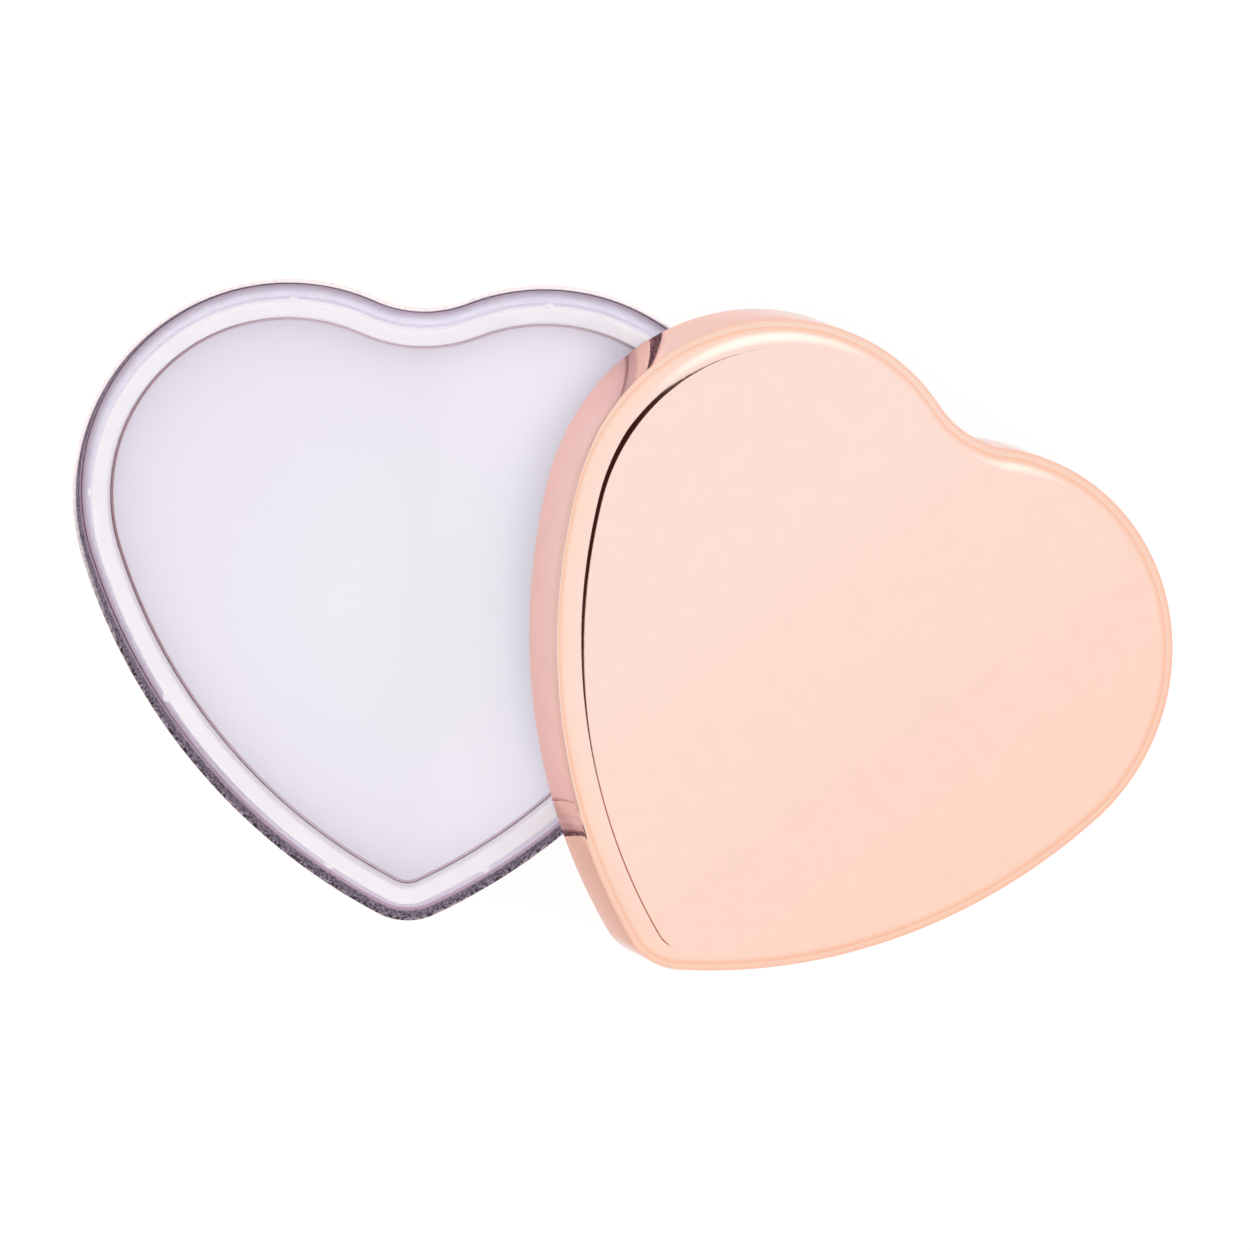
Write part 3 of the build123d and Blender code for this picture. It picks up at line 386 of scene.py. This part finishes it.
def chosen(material, switch, when_off, when_on):
    """One of two values, by a switch that is 0 or 1."""
    node = add_node(material, "ShaderNodeMix", data_type="FLOAT")
    link(material, switch, node.inputs["Factor"])
    link(material, when_off, node.inputs["A"])
    link(material, when_on, node.inputs["B"])
    return node.outputs["Result"]


def colour_ramp(material, value, stops):
    """A colour that runs through stops with a value. Each stop is a value and its colour."""
    low, high = stops[0][0], stops[-1][0]
    node = add_node(material, "ShaderNodeValToRGB")
    points = node.color_ramp.elements
    while len(points) < len(stops):
        points.new(1)
    for point, (place, colour) in zip(points, stops):
        point.position = (place - low) / (high - low)
        point.color = (*colour, 1)
    link(material, spread(material, value, over=(low, high)), node.inputs["Fac"])
    return node.outputs["Color"]


def bump(material, shader, height, distance, strength):
    """Adds a bump to a shader."""
    node = add_node(material, "ShaderNodeBump")
    node.inputs["Strength"].default_value = strength
    node.inputs["Distance"].default_value = distance
    link(material, height, node.inputs["Height"])
    link(material, node.outputs["Normal"], shader.inputs["Normal"])


def object_noise(material, scale, detail, stretch=(1, 1, 1), roughness=0.5):
    """Noise fixed to the object, with scale in features per metre."""
    place = add_node(material, "ShaderNodeTexCoord")
    mapping = add_node(material, "ShaderNodeMapping")
    mapping.inputs["Scale"].default_value = stretch
    noise = add_node(material, "ShaderNodeTexNoise")
    noise.inputs["Scale"].default_value = scale
    noise.inputs["Detail"].default_value = detail
    noise.inputs["Roughness"].default_value = roughness
    link(material, place.outputs["Object"], mapping.inputs["Vector"])
    link(material, mapping.outputs["Vector"], noise.inputs["Vector"])
    return noise.outputs["Fac"]


def object_gradient(material, direction):
    """How far a point lies along a direction, in metres from the origin."""
    place = add_node(material, "ShaderNodeTexCoord")
    along = add_node(material, "ShaderNodeVectorMath", operation="DOT_PRODUCT")
    along.inputs[1].default_value = direction
    link(material, place.outputs["Object"], along.inputs[0])
    return along.outputs["Value"]


def object_plan(material):
    """A point's x and y on the object."""
    place = add_node(material, "ShaderNodeTexCoord")
    split = add_node(material, "ShaderNodeSeparateXYZ")
    link(material, place.outputs["Object"], split.inputs["Vector"])
    return split.outputs["X"], split.outputs["Y"]


def distance_in_plan(material, x, y, centre):
    """How far a point in plan lies from a centre."""
    across = calculate(material, "SUBTRACT", x, centre[0])
    along = calculate(material, "SUBTRACT", y, centre[1])
    along_squared = calculate(material, "MULTIPLY", along, along)
    squares = calculate(material, "MULTIPLY_ADD", across, across, along_squared)
    return calculate(material, "SQRT", squares)


def left_of_line(material, x, y, start, end):
    """1 where a point in plan lies to the left of the line from start to end, else 0."""
    step_x, step_y = end[0] - start[0], end[1] - start[1]
    rise = calculate(material, "MULTIPLY", calculate(material, "SUBTRACT", y, start[1]), step_x)
    run = calculate(material, "MULTIPLY", calculate(material, "SUBTRACT", x, start[0]), step_y)
    return calculate(material, "GREATER_THAN", rise, run)


def heart_inset(material):
    """How far a point lies inside the heart's outline, in metres. Each arc counts in its own sector."""
    x, y = object_plan(material)
    x = calculate(material, "ABSOLUTE", x)
    insets = []
    for centre, radius in (
        (lobe_centre, LOBE_RADIUS),
        (side_centre, SIDE_RADIUS),
        (tip_centre, TIP_RADIUS),
    ):
        distance = distance_in_plan(material, x, y, centre)
        insets.append(calculate(material, "SUBTRACT", radius, distance))
    lobe, side, tip = insets
    from_cleft = distance_in_plan(material, x, y, cleft_centre)
    cleft = calculate(material, "SUBTRACT", from_cleft, CLEFT_RADIUS)
    above_side = left_of_line(material, x, y, side_centre, lobe_centre)
    beside_tip = left_of_line(material, x, y, side_centre, tip_centre)
    in_cleft = left_of_line(material, x, y, cleft_centre, lobe_centre)
    lower = chosen(material, beside_tip, tip, side)
    upper = chosen(material, in_cleft, cleft, lobe)
    return chosen(material, above_side, lower, upper)


def facing_outwards(material):
    """1 where a wall looks away from the heart's middle, -1 where it looks back, 0 where level."""
    place = add_node(material, "ShaderNodeTexCoord")
    flat = add_node(material, "ShaderNodeVectorMath", operation="MULTIPLY")
    flat.inputs[1].default_value = (1, 1, 0)
    direction = add_node(material, "ShaderNodeVectorMath", operation="NORMALIZE")
    facing = add_node(material, "ShaderNodeVectorMath", operation="DOT_PRODUCT")
    link(material, place.outputs["Object"], flat.inputs[0])
    link(material, flat.outputs["Vector"], direction.inputs[0])
    link(material, direction.outputs["Vector"], facing.inputs[0])
    link(material, place.outputs["Normal"], facing.inputs[1])
    return facing.outputs["Value"]


# ---------------------------------------------------------------- materials


def polished_rose_gold(name, painted_wall_reflections=()):
    """Polished plate with a little cloud, haze and orange peel, and painted reflection tints. The
    second argument holds painted reflections for the lid's wall.
    """
    material, shader = new_material(name, metallic=1.0)
    shader.inputs["Specular Tint"].default_value = (*ROSE_GRAZING, 1)
    # painted reflection tint: pinker on one side of the plate, warmer on the other
    painted_warmth = spread(material, object_gradient(material, ROSE_WARMS_TOWARDS), over=ROSE_WARMS_OVER)
    base = mixed(material, painted_warmth, *ROSE_TONES)
    # painted reflection tints down the lid's crown and wall
    depth = calculate(material, "SUBTRACT", lid_top, object_gradient(material, lid_axis))
    base = multiplied(material, base, colour_ramp(material, depth, DEPTH_REFLECTION_TINTS))
    # painted reflections on the lid's wall, below the crown
    if painted_wall_reflections:
        crown_share = spread(material, depth, onto=(1, 0), over=WALL_STARTS)
        wall_reflection_tint = colour_ramp(material, object_gradient(material, WALL_ACROSS), painted_wall_reflections)
        base = multiplied(material, base, mixed(material, crown_share, wall_reflection_tint, WHITE))
    cloud = spread(material, object_noise(material, scale=330, detail=3.0), onto=(0.975, 1.0))
    link(material, scaled(material, base, cloud), shader.inputs["Base Color"])
    haze = spread(material, object_noise(material, scale=60, detail=4.0), onto=(0.04, 0.075))
    link(material, haze, shader.inputs["Roughness"])
    peel = object_noise(material, scale=420, detail=1.0)
    bump(material, shader, peel, distance=0.01 * MM, strength=0.35)
    return material


def speckled(material):
    """Coarse dark and bright specks, drawn out up the wall as drawing marks are."""
    grain = object_noise(material, scale=2600, detail=2.0, stretch=(1, 1, 0.3), roughness=0.6)
    return grain, mixed(material, spread(material, grain, over=(0.42, 0.62)), *RAW_TONES)


def raw_metal():
    """Bare pressed metal: pitted and dark at the top of the wall, paler and warmer lower down."""
    material, shader = new_material("raw_metal", metallic=0.8)
    grain, specks = speckled(material)
    pale_heights = (ledge_top, ledge_top + RAW_PALE_BAND)
    lower = spread(material, object_gradient(material, Z_AXIS), onto=(1, 0), over=pale_heights)
    link(material, mixed(material, lower, specks, RAW_PALE), shader.inputs["Base Color"])
    gloss = spread(material, object_noise(material, scale=500, detail=2.0), onto=(0.38, 0.6))
    link(material, gloss, shader.inputs["Roughness"])
    bump(material, shader, grain, distance=0.1 * MM, strength=0.7)
    return material


def bright_rim():
    """The rim: bright metal towards the cleft by painted light, and as dark as the wall towards the tip
    by painted shade.
    """
    material, shader = new_material("bright_rim", metallic=1.0, roughness=0.3)
    grain, specks = speckled(material)
    rim_bright_tones = mixed(material, spread(material, grain, over=(0.4, 0.5)), *RIM_TONES)
    # painted light and shade along the rim: bright towards the cleft, dark towards the tip
    along = object_gradient(material, Y_AXIS)
    painted_shade_towards_tip = spread(material, along, onto=(1, 0), over=RIM_PAINTED_LIGHT_OVER)
    link(material, mixed(material, painted_shade_towards_tip, rim_bright_tones, specks), shader.inputs["Base Color"])
    bump(material, shader, grain, distance=0.02 * MM, strength=0.3)
    return material


def milky_plastic(name):
    """Moulded plastic that lets light through. Its colour is returned, for the caller to link."""
    material, shader = new_material(name, metallic=0.0, roughness=0.38)
    shader.inputs["Subsurface Weight"].default_value = 0.5
    shader.inputs["Subsurface Radius"].default_value = LIGHT_TRAVELS_SHARES
    shader.inputs["Subsurface Scale"].default_value = LIGHT_TRAVELS
    cloud = spread(material, object_noise(material, scale=160, detail=2.0))
    pores = object_noise(material, scale=3000, detail=1.0)
    bump(material, shader, pores, distance=0.01 * MM, strength=0.3)
    return material, shader, mixed(material, cloud, *MOULDING_TONES)


def white_moulding():
    material, shader, tone = milky_plastic("white_moulding")
    link(material, tone, shader.inputs["Base Color"])
    return material


def neck_moulding():
    """The neck's moulding, with painted shade on its ledge towards the case, and a painted glow on its
    ledge and outer wall.
    """
    material, shader, tone = milky_plastic("neck_moulding")
    along = object_gradient(material, Y_AXIS)
    wall_inset = SHEET + (rim_height - ledge_top) * tan(CASE_DRAFT)
    # painted shade on the ledge beside the case's wall, weaker towards the tip
    shade_insets = (wall_inset, wall_inset + LEDGE_SHADE_WIDTH)
    off_wall = spread(material, heart_inset(material), over=shade_insets)
    by_tip = spread(material, along, onto=(TIP_EVENNESS, 0), over=TIP_BRIGHTENS)
    lit = calculate(material, "MAXIMUM", off_wall, by_tip)
    shade = mixed(material, lit, LEDGE_SHADE, WHITE)
    link(material, multiplied(material, tone, shade), shader.inputs["Base Color"])

    # painted glow given off by the ledge and the neck's outer wall
    level = lit
    height = object_gradient(material, Z_AXIS)
    low, share = ledge_top, 1.0
    for reach, share_left in NECK_PAINTED_GLOW_LEFT:
        high = ledge_top + reach
        fade = spread(material, height, onto=(1, share_left / share), over=(low, high))
        level = calculate(material, "MULTIPLY", level, fade)
        low, share = high, share_left
    outside = spread(material, facing_outwards(material), over=NECK_FACING)
    patchy = spread(material, object_noise(material, scale=700, detail=3.0), onto=(0.88, 1.06))
    level = calculate(material, "MULTIPLY", level, outside)
    level = calculate(material, "MULTIPLY", level, patchy)
    link(material, mixed(material, level, BLACK, NECK_PAINTED_GLOW), shader.inputs["Emission Color"])
    shader.inputs["Emission Strength"].default_value = 1.0
    return material


def pale_panel():
    """Fine matt sheet, a little darker and more purple towards its edge as painted shade, and paler at
    its +X side as painted light.
    """
    material, shader = new_material("pale_panel", metallic=0.0, roughness=0.6)
    # painted shade towards the panel's edge
    from_middle = distance_in_plan(material, *object_plan(material), PANEL_MIDDLE)
    away = spread(material, from_middle, over=PANEL_TONE_RADII)
    base = mixed(material, away, *PANEL_TONES)
    # painted light on the panel's +X side, under the lid
    across = object_gradient(material, X_AXIS)
    painted_paler = spread(material, across, onto=(1.0, PANEL_PAINTED_LIGHT), over=PANEL_PAINTED_LIGHT_OVER)
    cloud = spread(material, object_noise(material, scale=35, detail=2.0), onto=(0.985, 1.0))
    level = calculate(material, "MULTIPLY", cloud, painted_paler)
    link(material, scaled(material, base, level), shader.inputs["Base Color"])
    grain = object_noise(material, scale=4000, detail=1.0)
    bump(material, shader, grain, distance=0.01 * MM, strength=0.35)
    return material


def rose_trim():
    """Satin rose-brown line, darker towards -X as painted shade, and slightly cloudy."""
    material, shader = new_material("rose_trim", metallic=0.4, roughness=0.4)
    cloud = object_noise(material, scale=300, detail=2.0)
    # painted shade darkens the line towards -X
    aside = spread(material, object_gradient(material, X_AXIS), over=TRIM_PAINTED_SHADE_OVER)
    level = calculate(material, "MULTIPLY_ADD", cloud, TRIM_CLOUD, aside)
    link(material, mixed(material, level, *TRIM_TONES), shader.inputs["Base Color"])
    return material


def turned_metal(name, dark, light, roughness):
    """A machined metal: two close tones, fine grain and uneven gloss."""
    material, shader = new_material(name, metallic=1.0)
    grain = object_noise(material, scale=2600, detail=3.0)
    link(material, mixed(material, spread(material, grain), dark, light), shader.inputs["Base Color"])
    haze = object_noise(material, scale=250, detail=3.0)
    gloss = spread(material, haze, onto=[roughness * share for share in GLOSS_VARIES])
    link(material, gloss, shader.inputs["Roughness"])
    bump(material, shader, grain, distance=0.005 * MM, strength=0.15)
    return material


def moulded(name, dark, light, roughness):
    """A plain moulded or cut sheet: two close tones and a fine grain."""
    material, shader = new_material(name, metallic=0.0, roughness=roughness)
    cloud = spread(material, object_noise(material, scale=200, detail=3.0))
    link(material, mixed(material, cloud, dark, light), shader.inputs["Base Color"])
    grain = object_noise(material, scale=2500, detail=2.0)
    bump(material, shader, grain, distance=0.03 * MM, strength=0.4)
    return material


case_gold = polished_rose_gold("rose_gold_polished")
lid_gold = polished_rose_gold("rose_gold_lid", WALL_PAINTED_REFLECTIONS)

FINISHES = {
    "case_metal": turned_metal("case_metal", (0.55, 0.5, 0.52), (0.75, 0.7, 0.72), 0.3),
    "pad": moulded("pad", (0.74, 0.71, 0.76), (0.82, 0.79, 0.84), 0.8),
    "white_moulding": white_moulding(),
    "rose_trim": rose_trim(),
    "pale_panel": pale_panel(),
    "rose_gold": case_gold,
    "cast_plate": turned_metal("cast_plate", (0.42, 0.42, 0.43), (0.55, 0.55, 0.56), 0.42),
    "brass": turned_metal("brass", (0.70, 0.47, 0.17), (0.86, 0.64, 0.30), 0.22),
    "plated_steel": turned_metal("plated_steel", (0.60, 0.59, 0.58), (0.76, 0.75, 0.74), 0.2),
    "steel": turned_metal("steel", (0.45, 0.45, 0.46), (0.62, 0.62, 0.63), 0.25),
    "spring_steel": turned_metal("spring_steel", (0.22, 0.24, 0.32), (0.42, 0.44, 0.50), 0.3),
    "black_plastic": moulded("black_plastic", (0.02, 0.02, 0.02), (0.04, 0.04, 0.04), 0.5),
}

slot_of_node = {row["node"]: row["material_slot"] for row in frame["record"]["subparts"]}
for name, node in nodes.items():
    node.data.materials.clear()
    node.data.materials.append(FINISHES[slot_of_node[name]])
nodes["neck_liner"].data.materials[0] = neck_moulding()

# ---------------------------------------------------------------- case


def quarter_turn(steps):
    """Angles from 0 to a right angle, both ends included."""
    return [pi / 2 * step / steps for step in range(steps + 1)]


def heel_rings(inset, bottom, radius, steps):
    """Rings up the round heel. inset is where the leaning wall would meet the floor."""
    slope = tan(CASE_DRAFT)
    rings = []
    for angle in quarter_turn(steps):
        up = radius * (1 - cos(angle))
        rings.append(heart_ring(inset + radius * (1 - sin(angle)) - up * slope, bottom + up))
    return rings


def build_case():
    """Pressed case: floor with the well's hole, round heel, drafted wall, bright rim, raw inside."""
    outside, rim, raw = range(3)
    edge = SHEET / 2
    floor_top = case_bottom + SHEET
    floor_inset = (rim_height - case_bottom) * tan(CASE_DRAFT)
    rings = [circle_ring(barrel, WELL_HOLE, height) for height in (floor_top, case_bottom)]
    rings += heel_rings(floor_inset, case_bottom, FLOOR_ROUND, HEEL_STEPS)
    rings.append(heart_ring(edge * tan(CASE_DRAFT), rim_height - edge))
    bands = [raw] + [outside] * (len(rings) - 1)
    for step in range(1, RIM_STEPS + 1):
        angle = pi * step / RIM_STEPS
        rings.append(heart_ring(edge * (1 - cos(angle)), rim_height - edge + edge * sin(angle)))
    bands += [rim] * (RIM_STEPS - 1)
    inner = heel_rings(floor_inset + SHEET, floor_top, FLOOR_ROUND - SHEET, INNER_HEEL_STEPS)
    rings += reversed(inner)
    rings.append(rings[0])
    bands += [raw] * (len(rings) - 1 - len(bands))
    piece = skin("case_shell", rings, bands, [case_gold, bright_rim(), raw_metal()])
    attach(piece, "case")
    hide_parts("base_shell")


# ---------------------------------------------------------------- lid


def crown(top, steps):
    """The crown's curve as (inset, height) pairs, from the wall to the flat top."""
    curve = []
    for angle in quarter_turn(steps):
        across = CROWN_REACH * (1 - cos(angle) ** (2 / CROWN_POWER))
        curve.append((across, top - CROWN_DROP + CROWN_DROP * sin(angle)))
    return curve


def build_lid():
    """Polished cap: rolled rim, straight wall, soft crown and flat top, with a plain inside."""
    polished, plain = range(2)
    edge = SHEET / 2
    inner_top = LID_DEPTH - SHEET
    profile = [(SHEET + CROWN_REACH + INNER_TOP_RING, inner_top)]
    for inset, height in reversed(crown(inner_top, INNER_CROWN_STEPS)):
        profile.append((SHEET + inset, height))
    profile.append((SHEET, edge))
    for step in range(1, RIM_STEPS):
        angle = pi * step / RIM_STEPS
        profile.append((edge + edge * cos(angle), edge - edge * sin(angle)))
    profile.append((0, edge))
    plain_bands = len(profile) - RIM_STEPS // 2  # the plate runs round the rim's outer half
    profile += crown(LID_DEPTH, CROWN_STEPS)
    for extra in TOP_RINGS:
        profile.append((CROWN_REACH + extra, LID_DEPTH))
    rings = [heart_ring(inset, height) for inset, height in profile]
    bands = [plain] * plain_bands + [polished] * (len(rings) - 1 - plain_bands)
    piece = skin("lid_cap", rings, bands, [lid_gold, FINISHES["case_metal"]], capped=True)
    piece.data.transform(lid_placement)
    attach(piece, "lid")
    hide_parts("lid_shell")


build_case()
build_lid()

# ---------------------------------------------------------------- floor, light and camera


def build_floor():
    """A wide plain white floor that keeps only a faint shadow."""
    material, shader = new_material("studio_floor", metallic=0.0, roughness=0.8)
    shader.inputs["Base Color"].default_value = (*FLOOR_COLOUR, 1)
    shader.inputs["Specular IOR Level"].default_value = 0.0
    shader.inputs["Emission Color"].default_value = (*WHITE, 1)
    shader.inputs["Emission Strength"].default_value = FLOOR_GLOW
    corners = [(x * FLOOR_HALF, y * FLOOR_HALF, 0) for x, y in ((-1, -1), (1, -1), (1, 1), (-1, 1))]
    mesh = bpy.data.meshes.new("floor")
    mesh.from_pydata(corners, [], [(0, 1, 2, 3)])
    mesh.materials.append(material)
    floor = bpy.data.objects.new("floor", mesh)
    bpy.context.scene.collection.objects.link(floor)
    floor.location.z = cad_low.z - FLOOR_DROP


def sky_direction(towards_x, towards_y):
    """The unit direction at these angles from straight up."""
    level = cos(towards_y)
    return (sin(towards_x) * level, sin(towards_y), cos(towards_x) * level)


def inside_shape(material, x, y, corners):
    """1 inside a shape with these corners, against the clock, and 0 outside, with soft sides."""
    inside = None
    for start, end in zip(corners, corners[1:] + corners[:1]):
        step = Vector((end[0] - start[0], end[1] - start[1])).normalized()
        offset = start[0] * step.y - start[1] * step.x
        depth = calculate(material, "MULTIPLY_ADD", y, step.x, offset)
        depth = calculate(material, "MULTIPLY_ADD", x, -step.y, depth)
        side = spread(material, depth, over=(0, FLAG_SOFT))
        inside = calculate(material, "MULTIPLY", inside, side) if inside else side
    return inside


def build_sky():
    """Soft white light from all round, warmer near the horizon, with a bright patch and a dark flag."""
    world = bpy.data.worlds.new("studio")
    bpy.context.scene.world = world
    world.use_nodes = True
    place = add_node(world, "ShaderNodeTexCoord")
    split = add_node(world, "ShaderNodeSeparateXYZ")
    link(world, place.outputs["Generated"], split.inputs["Vector"])
    x, y, z = (split.outputs[axis] for axis in "XYZ")
    light = mixed(world, spread(world, z, over=HORIZON_FADES), HORIZON_LIGHT, WHITE)

    # a bright patch that fades out from its middle
    nearness = add_node(world, "ShaderNodeVectorMath", operation="DOT_PRODUCT")
    nearness.inputs[1].default_value = sky_direction(*PATCH_PLACE)
    link(world, place.outputs["Generated"], nearness.inputs[0])
    patch_reach = (cos(PATCH_OUTER), cos(PATCH_INNER))
    patch = spread(world, nearness.outputs["Value"], onto=(1.0, PATCH_LEVEL), over=patch_reach)
    light = scaled(world, light, patch)

    # a dark flag with a paler edge and a thin tail
    towards_x = calculate(world, "DEGREES", calculate(world, "ARCTAN2", x, z))
    towards_y = calculate(world, "DEGREES", calculate(world, "ARCSINE", y))
    for corners, colour in (
        (FLAG_TAIL, FLAG_TAIL_COLOUR),
        (FLAG, FLAG_COLOUR),
        (FLAG_CORE, FLAG_CORE_COLOUR),
    ):
        shape = inside_shape(world, towards_x, towards_y, corners)
        light = mixed(world, shape, light, colour)
    background = world.node_tree.nodes["Background"]
    link(world, light, background.inputs["Color"])
    background.inputs["Strength"].default_value = SKY_LEVEL


def build_camera():
    """A long lens almost straight above, tilted a little towards the cleft."""
    roll = Matrix.Rotation(CAMERA_ROLL, 3, "Z")
    back = roll @ Vector((0, sin(CAMERA_TILT), cos(CAMERA_TILT)))
    up = roll @ Vector((0, cos(CAMERA_TILT), -sin(CAMERA_TILT)))
    right = up.cross(back)
    target = Vector((AIM[0], AIM[1] + lobe_y, rim_height))
    camera = bpy.data.objects.new("camera", bpy.data.cameras.new("camera"))
    bpy.context.scene.collection.objects.link(camera)
    turned = Matrix((right, up, back)).transposed().to_4x4()
    camera.matrix_world = Matrix.Translation(target + back * CAMERA_DISTANCE) @ turned
    camera.data.sensor_width = SENSOR
    camera.data.lens = SENSOR * CAMERA_DISTANCE / VIEW_WIDTH
    camera.data.clip_start, camera.data.clip_end = CAMERA_CLIP
    bpy.context.scene.camera = camera


build_floor()
build_sky()
build_camera()
bpy.context.scene.view_settings.view_transform = "Standard"
